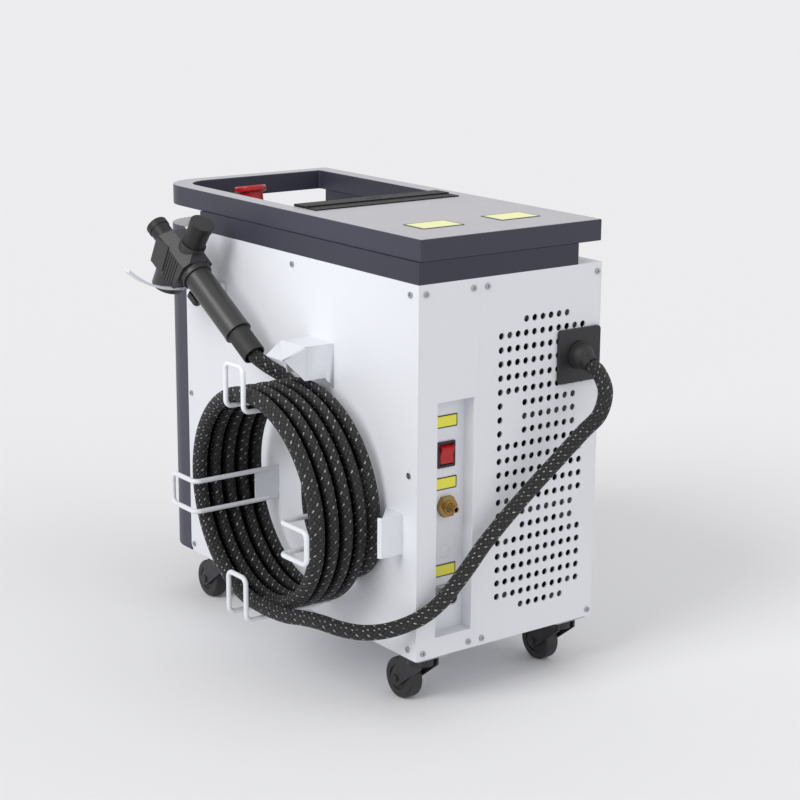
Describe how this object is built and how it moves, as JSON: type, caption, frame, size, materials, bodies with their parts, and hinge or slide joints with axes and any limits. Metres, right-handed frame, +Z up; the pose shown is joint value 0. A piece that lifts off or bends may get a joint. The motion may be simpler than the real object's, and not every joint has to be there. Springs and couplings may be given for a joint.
{
  "type": "laser cleaning machine",
  "caption": "Cabinet on swivel casters with a handle slab, touch screen and stop button on top, a rear connector bay and grille, and a cleaning gun on a coiled hose.",
  "frame": {"origin": "on the floor, under the middle of the cabinet", "axes": "+X to the side with the hose and the gun, +Y to the rear with the connectors and the grille, -Y to the front with the handle bar, +Z up"},
  "size_m": [0.4041, 0.6379, 0.5627],
  "materials": {
    "white_metal": "fine powder coat, off-white",
    "dark_metal": "powder coat, dark blue-grey",
    "fascia_plastic": "moulded, dark blue-grey",
    "slab_plastic": "moulded, mid grey, satin",
    "black_plastic": "moulded, black",
    "screen": "dark glossy cover",
    "yellow_plate": "printed foil, blank",
    "red_plastic": "moulded, signal red",
    "brass": "turned",
    "plated_steel": "zinc plated",
    "hose_braid": "black woven sleeve with light flecks",
    "black_rubber": "moulded, black",
    "gun_aluminium": "anodised, charcoal",
    "lens_glass": "clear protective window",
    "caster_plastic": "moulded, black",
    "wheel_tyre": "polyurethane, dark grey",
    "bare_aluminium": "machined and finned",
    "board_green": "circuit board"
  },
  "bodies": {
    "machine": {"base_plate": "white_metal", "top_plate": "white_metal", "hose_side_panel": "white_metal", "far_side_panel": "white_metal", "front_fascia": "fascia_plastic", "connector_panel": "white_metal", "grille_panel": "white_metal", "recess_tray": "white_metal", "inner_frame": "plated_steel", "panel_screws": "plated_steel", "neck": "dark_metal", "handle_slab": "slab_plastic", "console": "slab_plastic", "touch_screen": "screen", "trim_strip": "black_plastic", "top_plates": "yellow_plate", "stop_collar": "yellow_plate", "recess_labels": "yellow_plate", "rocker_bezel": "black_plastic", "gas_inlet": "brass", "power_socket": "plated_steel", "connector_plate": "black_plastic", "cable_gland": "black_rubber", "hose_tail": "hose_braid", "hose_coil": "hose_braid", "hose_run": "hose_braid", "hose_hook_top": "white_metal", "hose_hook_rear": "white_metal", "hose_hook_front": "white_metal", "hose_hook_bottom": "white_metal", "coil_guards": "white_metal", "gun_holder": "white_metal", "gun_handle": "gun_aluminium", "gun_sleeve": "black_rubber", "gun_collar": "gun_aluminium", "gun_head": "gun_aluminium", "scan_motor_front": "gun_aluminium", "scan_motor_top": "gun_aluminium", "gun_nozzle": "gun_aluminium", "nozzle_lens": "lens_glass", "caster_plates": "plated_steel", "laser_source": "bare_aluminium", "power_supply": "plated_steel", "control_board": "board_green", "fan_frames": "black_plastic"},
    "stop_button": {"stop_button": "red_plastic"},
    "power_rocker": {"power_rocker": "red_plastic"},
    "gun_trigger": {"gun_trigger": "black_plastic"},
    "fork_rear_hose": {"caster_fork_rear_hose": "caster_plastic"},
    "wheel_rear_hose": {"wheel_rear_hose": "wheel_tyre"},
    "fork_front_hose": {"caster_fork_front_hose": "caster_plastic"},
    "wheel_front_hose": {"wheel_front_hose": "wheel_tyre"},
    "fork_rear_far": {"caster_fork_rear_far": "caster_plastic"},
    "wheel_rear_far": {"wheel_rear_far": "wheel_tyre"},
    "fork_front_far": {"caster_fork_front_far": "caster_plastic"},
    "wheel_front_far": {"wheel_front_far": "wheel_tyre"},
    "fan_top": {"fan_rotor_top": "black_plastic"},
    "fan_middle": {"fan_rotor_middle": "black_plastic"},
    "fan_bottom": {"fan_rotor_bottom": "black_plastic"}
  },
  "joints": [
    {"name": "stop_press", "type": "slide", "parent": "machine", "child": "stop_button", "axis": [0, 0.1685, -0.9857], "range_m": [0, 0.005], "stiffness_N_per_m": 900},
    {"name": "rocker_tilt", "type": "hinge", "parent": "machine", "child": "power_rocker", "pos_m": [0.0807, 0.229, 0.304], "axis": [1, 0, 0], "range_deg": [0, 20]},
    {"name": "trigger_pull", "type": "slide", "parent": "machine", "child": "gun_trigger", "axis": [-0.0761, 0.5942, 0.8007], "range_m": [0, 0.004], "stiffness_N_per_m": 500},
    {"name": "swivel_rear_hose", "type": "hinge", "parent": "machine", "child": "fork_rear_hose", "pos_m": [0.106, 0.222, 0.055], "axis": [0, 0, 1], "continuous": true},
    {"name": "spin_rear_hose", "type": "hinge", "parent": "fork_rear_hose", "child": "wheel_rear_hose", "pos_m": [0.106, 0.19, 0.025], "axis": [1, 0, 0], "continuous": true},
    {"name": "swivel_front_hose", "type": "hinge", "parent": "machine", "child": "fork_front_hose", "pos_m": [0.106, -0.212, 0.055], "axis": [0, 0, 1], "continuous": true},
    {"name": "spin_front_hose", "type": "hinge", "parent": "fork_front_hose", "child": "wheel_front_hose", "pos_m": [0.106, -0.244, 0.025], "axis": [1, 0, 0], "continuous": true},
    {"name": "swivel_rear_far", "type": "hinge", "parent": "machine", "child": "fork_rear_far", "pos_m": [-0.106, 0.222, 0.055], "axis": [0, 0, 1], "continuous": true},
    {"name": "spin_rear_far", "type": "hinge", "parent": "fork_rear_far", "child": "wheel_rear_far", "pos_m": [-0.106, 0.19, 0.025], "axis": [1, 0, 0], "continuous": true},
    {"name": "swivel_front_far", "type": "hinge", "parent": "machine", "child": "fork_front_far", "pos_m": [-0.106, -0.212, 0.055], "axis": [0, 0, 1], "continuous": true},
    {"name": "spin_front_far", "type": "hinge", "parent": "fork_front_far", "child": "wheel_front_far", "pos_m": [-0.106, -0.244, 0.025], "axis": [1, 0, 0], "continuous": true},
    {"name": "fan_spin_top", "type": "hinge", "parent": "machine", "child": "fan_top", "pos_m": [-0.04585, 0.236, 0.40064], "axis": [0, 1, 0], "continuous": true},
    {"name": "fan_spin_middle", "type": "hinge", "parent": "machine", "child": "fan_middle", "pos_m": [-0.04585, 0.236, 0.27964], "axis": [0, 1, 0], "continuous": true},
    {"name": "fan_spin_bottom", "type": "hinge", "parent": "machine", "child": "fan_bottom", "pos_m": [-0.04585, 0.236, 0.15865], "axis": [0, 1, 0], "continuous": true}
  ]
}
